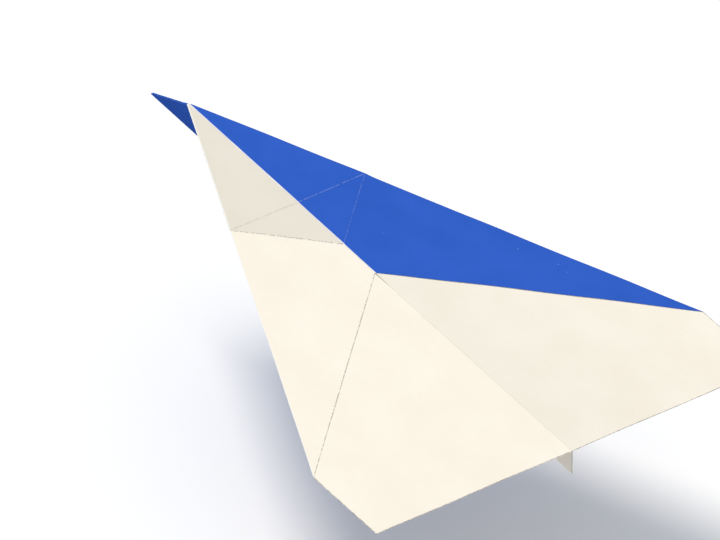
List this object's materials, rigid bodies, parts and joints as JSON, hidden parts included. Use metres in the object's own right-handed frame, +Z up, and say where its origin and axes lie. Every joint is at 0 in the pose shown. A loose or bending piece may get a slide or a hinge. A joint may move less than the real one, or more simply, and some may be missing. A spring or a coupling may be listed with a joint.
{
  "type": "paper airplane",
  "caption": "Hand-thrown dart folded from one sheet: flat swept wings on a narrow keel to hold, with layered flaps along the nose and leading edges.",
  "frame": {"origin": "on the bottom of the keel, midway between the nose and the tail", "axes": "+Y along the flight line towards the nose, +Z up, +X to the right wing"},
  "size_m": [0.1884, 0.297, 0.0119],
  "materials": {
    "cream_paper": "matt, fine fibre",
    "blue_paper": "matt, printed"
  },
  "bodies": {
    "keel_crease": {"keel_crease": "cream_paper"},
    "left_keel": {"left_keel_base": "cream_paper", "left_keel_corner_flap": "cream_paper", "left_keel_tucked_flap": "cream_paper", "left_keel_top_flap": "cream_paper", "left_keel_leading_edge": "blue_paper", "left_keel_inner_fold": "cream_paper", "left_corner_crease": "cream_paper", "left_wing_crease": "cream_paper"},
    "left_wing": {"left_wing_base": "cream_paper", "left_wing_corner_flap": "cream_paper", "left_wing_tucked_flap": "cream_paper", "left_wing_top_flap": "cream_paper", "left_wing_leading_edge": "cream_paper", "left_wing_inner_fold": "cream_paper"},
    "right_keel": {"right_keel_base": "cream_paper", "right_keel_corner_flap": "cream_paper", "right_keel_tucked_flap": "cream_paper", "right_keel_top_flap": "blue_paper", "right_keel_leading_edge": "blue_paper", "right_keel_inner_fold": "cream_paper", "right_corner_crease": "cream_paper", "right_wing_crease": "cream_paper"},
    "right_wing": {"right_wing_base": "cream_paper", "right_wing_corner_flap": "cream_paper", "right_wing_tucked_flap": "cream_paper", "right_wing_top_flap": "blue_paper", "right_wing_leading_edge": "blue_paper", "right_wing_inner_fold": "cream_paper"}
  },
  "joints": [
    {"name": "left_keel_open", "type": "hinge", "parent": "keel_crease", "child": "left_keel", "pos_m": [0, 0, 0.00062], "axis": [0, -1, 0], "range_deg": [0, 10]},
    {"name": "right_keel_open", "type": "hinge", "parent": "keel_crease", "child": "right_keel", "pos_m": [0, 0, 0.00062], "axis": [0, 1, 0], "range_deg": [0, 10]},
    {"name": "left_wing_fold", "type": "hinge", "parent": "left_keel", "child": "left_wing", "pos_m": [-0.00062, 0, 0.0114], "axis": [0, 1, 0], "range_deg": [-80, 88]},
    {"name": "right_wing_fold", "type": "hinge", "parent": "right_keel", "child": "right_wing", "pos_m": [0.00062, 0, 0.0114], "axis": [0, -1, 0], "range_deg": [-80, 88]}
  ],
  "couplings": [
    {"joint": "right_keel_open", "follows": "left_keel_open", "ratio": 1}
  ]
}
